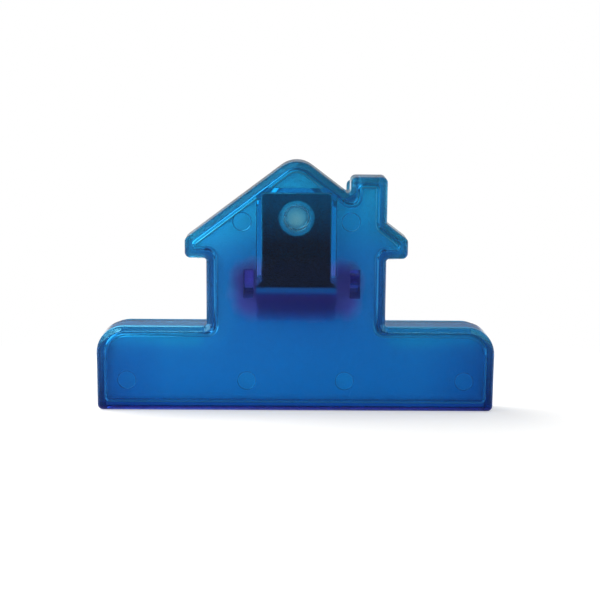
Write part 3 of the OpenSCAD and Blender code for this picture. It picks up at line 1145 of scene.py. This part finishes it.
def paper_floor(colours):
    """White paper sweep: matt near the clip, where it takes the shadow, and plain white further out."""
    made = new_material("White_paper_sweep")
    tree = made.node_tree
    where = add_node(tree, "TexCoord")
    reach = add_node(tree, "VectorMath", {0: where.outputs["Object"]}, operation="LENGTH")
    far = add_node(
        tree,
        "MapRange",
        {"Value": reach.outputs["Value"], "From Min": FLOOR_FADE, "From Max": FLOOR_WHITE},
        interpolation_type="SMOOTHSTEP",
    )
    seen = white_to_the_eye(tree)
    lift = add_node(tree, "Math", {0: seen, 1: FLOOR_LIFT}, operation="MULTIPLY")
    paper = add_node(tree, "BsdfDiffuse", {"Color": (*colours.floor, 1.0)})
    glow = add_node(tree, "Emission", {"Strength": lift.outputs[0]})
    near = add_node(tree, "AddShader", {0: paper.outputs["BSDF"], 1: glow.outputs["Emission"]})
    white = add_node(tree, "Emission", {"Strength": 1.0})
    fade = add_node(tree, "Math", {0: far.outputs["Result"], 1: seen}, operation="MULTIPLY")
    whole = add_node(
        tree, "MixShader", {0: fade.outputs[0], 1: near.outputs["Shader"], 2: white.outputs["Emission"]}
    )
    add_node(tree, "OutputMaterial", {"Surface": whole.outputs["Shader"]})
    return made


def softbox(scene, name, place, aim, width, height, radiance, tone):
    """Soft area lamp that faces a point, with its places and sizes in metres."""
    lamp = bpy.data.lights.new(name, "AREA")
    lamp.color = tone
    lamp.shape = "RECTANGLE"
    lamp.size = width
    lamp.size_y = height
    lamp.energy = radiance * math.pi * width * height
    made = bpy.data.objects.new(name, lamp)
    made.location = place
    made.rotation_euler = (Vector(aim) - Vector(place)).to_track_quat("-Z", "Y").to_euler()
    made.visible_camera = False
    made.visible_glossy = False
    scene.collection.objects.link(made)


def camera(scene, stage):
    """Camera at the photograph's viewing angle."""
    made = bpy.data.objects.new("Camera", bpy.data.cameras.new("Camera"))
    made.data.lens = stage.focal_length
    made.data.sensor_width = SENSOR_W
    made.data.clip_start = 0.01
    back = Vector((
        -math.sin(stage.camera_side) * math.cos(stage.camera_height),
        -math.cos(stage.camera_side) * math.cos(stage.camera_height),
        math.sin(stage.camera_height),
    ))
    made.location = Vector((0.0, 0.0, stage.turn_z)) + back * stage.camera_distance
    aim = Vector((stage.aim_x, 0.0, stage.aim_z))
    made.rotation_euler = (aim - made.location).to_track_quat("-Z", "Y").to_euler()
    made.rotation_euler.rotate_axis("Z", stage.camera_roll)
    scene.collection.objects.link(made)
    scene.camera = made


class BAGCLIP_OT_moulded_halves(bpy.types.Operator):
    """Mould the two hinged halves of the clip"""

    bl_idname = "bagclip.moulded_halves"
    bl_label = "Moulded Halves"

    def execute(self, context):
        scene = context.scene
        plan = Plan(scene)
        plastic = clear_polystyrene(scene, plan)
        for name, node, body, place, side in (
            ("front_tray", "front_half", "front", plan.front, 1),
            ("rear_tray", "rear_half", "rear", plan.rear, -1),
        ):
            made = moulded_half(scene, plan, name, side)
            made.data.transform(place)
            finish_shading(made)
            mark_looks(made, scene.clip_colours, plan.shoulder_z)
            made.data.materials.append(plastic)
            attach(made, body)
            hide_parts(node)
        return {"FINISHED"}


class BAGCLIP_OT_leaf_spring(bpy.types.Operator):
    """Bend the steel strip that closes the clip"""

    bl_idname = "bagclip.leaf_spring"
    bl_label = "Leaf Spring"

    def execute(self, context):
        scene = context.scene
        plan = Plan(scene)
        made = spring_strip(scene, plan, "steel_strip")
        finish_shading(made)
        made.data.materials.clear()
        made.data.materials.append(tempered_steel(scene.clip_colours))
        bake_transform(made)
        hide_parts("leaf_spring")
        return {"FINISHED"}


class BAGCLIP_OT_stage(bpy.types.Operator):
    """Set the floor, the light and the camera"""

    bl_idname = "bagclip.stage"
    bl_label = "Stage"

    def execute(self, context):
        scene = context.scene
        scene.view_settings.view_transform = "Standard"
        studio_world(scene)
        sweep = bmesh.new()
        bmesh.ops.create_circle(sweep, cap_ends=True, segments=FLOOR_FACETS, radius=FLOOR_R)
        mesh = bpy.data.meshes.new("floor")
        sweep.to_mesh(mesh)
        sweep.free()
        mesh.materials.append(paper_floor(scene.clip_colours))
        floor = bpy.data.objects.new("floor", mesh)
        scene.collection.objects.link(floor)
        softbox(
            scene,
            "Top_softbox",
            place=(-0.5, 0.4, 0.42),
            aim=(0.0, 0.0, 0.05),
            width=1.3,
            height=0.55,
            radiance=3.5,
            tone=(1.0, 0.98, 0.93),
        )
        camera(scene, scene.clip_stage)
        return {"FINISHED"}


class BAGCLIP_PT_sidebar(bpy.types.Panel):
    """Sizes, colours and steps of the bag clip"""

    bl_idname = "BAGCLIP_PT_sidebar"
    bl_label = "Bag Clip"
    bl_space_type = "VIEW_3D"
    bl_region_type = "UI"
    bl_category = "Bag Clip"

    def draw(self, context):
        for heading, group, kind in GROUPS:
            box = self.layout.box()
            box.label(text=heading)
            settings = getattr(context.scene, group)
            for name in settings.__annotations__:
                box.prop(settings, name)
        for operator in STEPS:
            self.layout.operator(operator.bl_idname)


STEPS = (BAGCLIP_OT_moulded_halves, BAGCLIP_OT_leaf_spring, BAGCLIP_OT_stage)
GROUPS = (
    ("Trays", "clip_tray", TraySizes),
    ("Hinge", "clip_hinge", HingeSizes),
    ("Spring", "clip_spring", SpringSizes),
    ("Colours", "clip_colours", ClipColours),
    ("Stage", "clip_stage", StageSettings),
)
CLASSES = (*(kind for heading, group, kind in GROUPS), *STEPS, BAGCLIP_PT_sidebar)


def register():
    for cls in CLASSES:
        bpy.utils.register_class(cls)
    for heading, group, kind in GROUPS:
        setattr(bpy.types.Scene, group, PointerProperty(type=kind))


def unregister():
    for heading, group, kind in GROUPS:
        delattr(bpy.types.Scene, group)
    for cls in reversed(CLASSES):
        bpy.utils.unregister_class(cls)


def main():
    register()
    bpy.ops.bagclip.moulded_halves()
    bpy.ops.bagclip.leaf_spring()
    bpy.ops.bagclip.stage()


if __name__ == "__main__":
    main()
